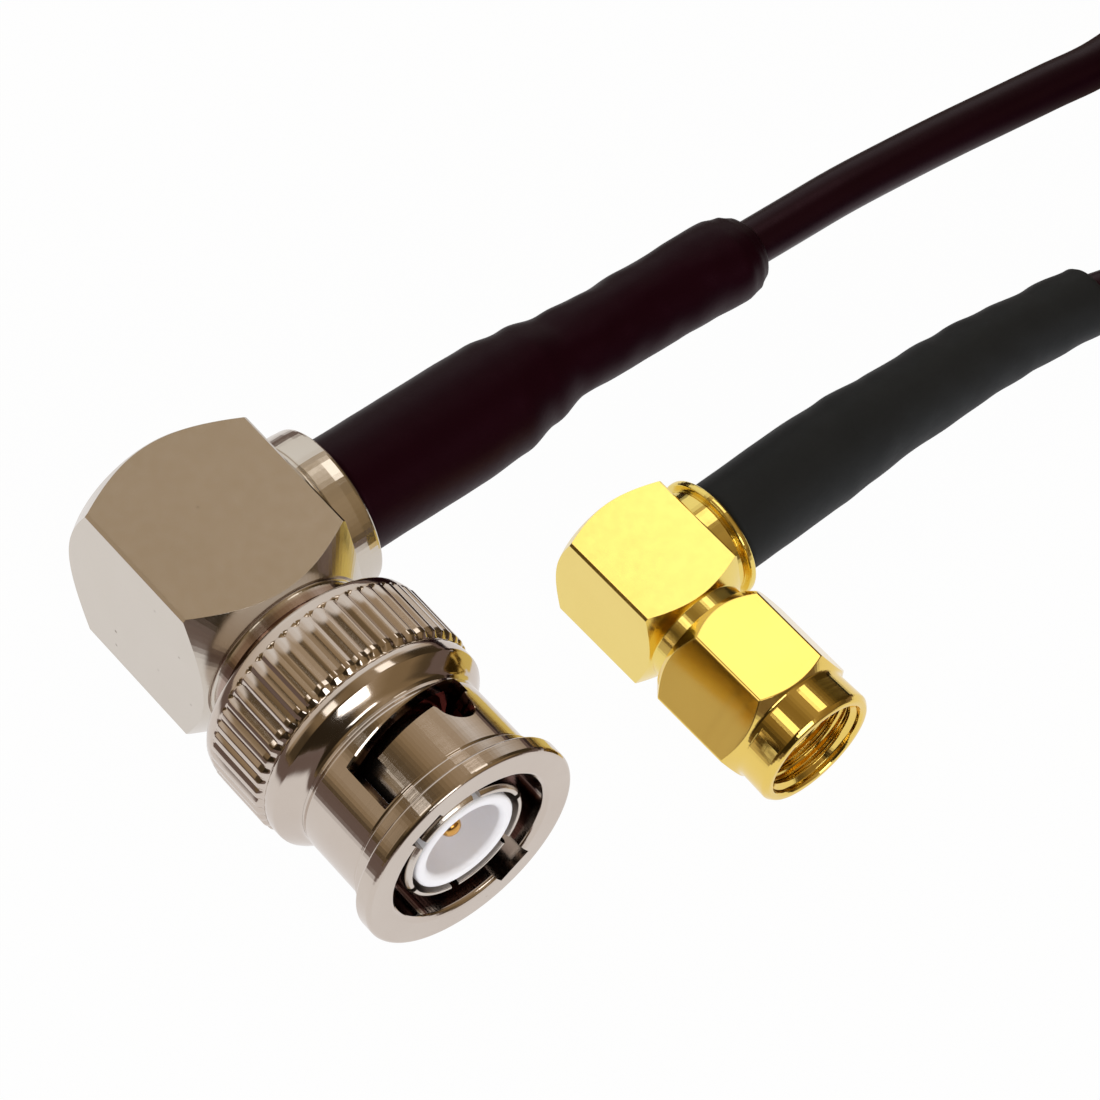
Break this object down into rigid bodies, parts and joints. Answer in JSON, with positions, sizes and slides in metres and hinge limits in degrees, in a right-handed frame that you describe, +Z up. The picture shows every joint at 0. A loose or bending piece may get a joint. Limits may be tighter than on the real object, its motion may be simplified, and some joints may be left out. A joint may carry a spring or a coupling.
{
  "type": "coaxial cable assembly",
  "caption": "Coaxial cable assembly with a nickel right-angle BNC plug, a gold right-angle SMA plug, black sleeves and a thin black cable tied in a coil",
  "frame": {"origin": "centre of the flat rear face of the BNC plug, on its mating axis", "axes": "+Y out of the BNC plug's rear face, so the plug mates toward -Y; +X along its cable; +Z up from the surface it lies on"},
  "size_m": [0.1144, 0.0356, 0.0145],
  "materials": {
    "nickel_block": "nickel plate over milled brass, satin with tiny pits",
    "nickel_coupling": "nickel plate over turned brass, bright with fine turning lines",
    "nickel_contact": "nickel plate over turned brass, smooth",
    "gold_body": "gold plate over milled brass, bright",
    "gold_nut": "gold plate over a hexagonal brass bar, bright with milling lines",
    "gold_contact": "gold plate, smooth",
    "spring_steel": "spring metal, satin",
    "copper": "bare copper wire",
    "braid": "tinned copper braid",
    "ptfe": "white fluoropolymer, waxy",
    "silicone": "soft silicone ring",
    "sleeve_black": "black heat-shrink sleeve, soft sheen",
    "sleeve_grey": "dark grey heat-shrink sleeve, matte",
    "jacket": "black PVC cable jacket, semi-gloss",
    "tie": "black plastic-covered twist tie"
  },
  "bodies": {
    "assembly": {"bnc_body": "nickel_block", "bnc_rear_cap": "nickel_block", "bnc_wave_washer": "spring_steel", "bnc_shell": "nickel_contact", "bnc_gasket": "silicone", "bnc_insulator": "ptfe", "bnc_center_pin": "gold_contact", "bnc_braid_end": "braid", "bnc_crimp_ferrule": "nickel_contact", "bnc_cable_core": "ptfe", "bnc_conductor_end": "copper", "bnc_heat_shrink": "sleeve_black", "sma_body": "gold_body", "sma_rear_cap": "gold_body", "sma_snap_ring": "spring_steel", "sma_shell": "gold_body", "sma_gasket": "silicone", "sma_insulator": "ptfe", "sma_center_pin": "gold_contact", "sma_braid_end": "braid", "sma_crimp_ferrule": "gold_body", "sma_cable_core": "ptfe", "sma_conductor_end": "copper", "sma_heat_shrink": "sleeve_grey", "cable_bnc_run": "jacket", "cable_sma_run": "jacket", "cable_coil": "jacket", "coil_tie_near": "tie", "coil_tie_far": "tie"},
    "bnc_thrust": {"bnc_thrust_washer": "spring_steel"},
    "bnc_bayonet": {"bnc_coupling": "nickel_coupling"},
    "sma_nut": {"sma_coupling_nut": "gold_nut"}
  },
  "joints": [
    {"name": "bnc_coupling_push", "type": "slide", "parent": "assembly", "child": "bnc_thrust", "axis": [0, -1, 0], "range_m": [0, 0.0005], "stiffness_N_per_m": 12000, "springref_m": -0.0002},
    {"name": "bnc_coupling_turn", "type": "hinge", "parent": "bnc_thrust", "child": "bnc_bayonet", "pos_m": [0, -0.01625, 0], "axis": [0, -1, 0], "continuous": true},
    {"name": "sma_nut_turn", "type": "hinge", "parent": "assembly", "child": "sma_nut", "pos_m": [0.01999, -0.02772, -0.00301], "axis": [0.0487, -0.9964, -0.0698], "continuous": true}
  ]
}
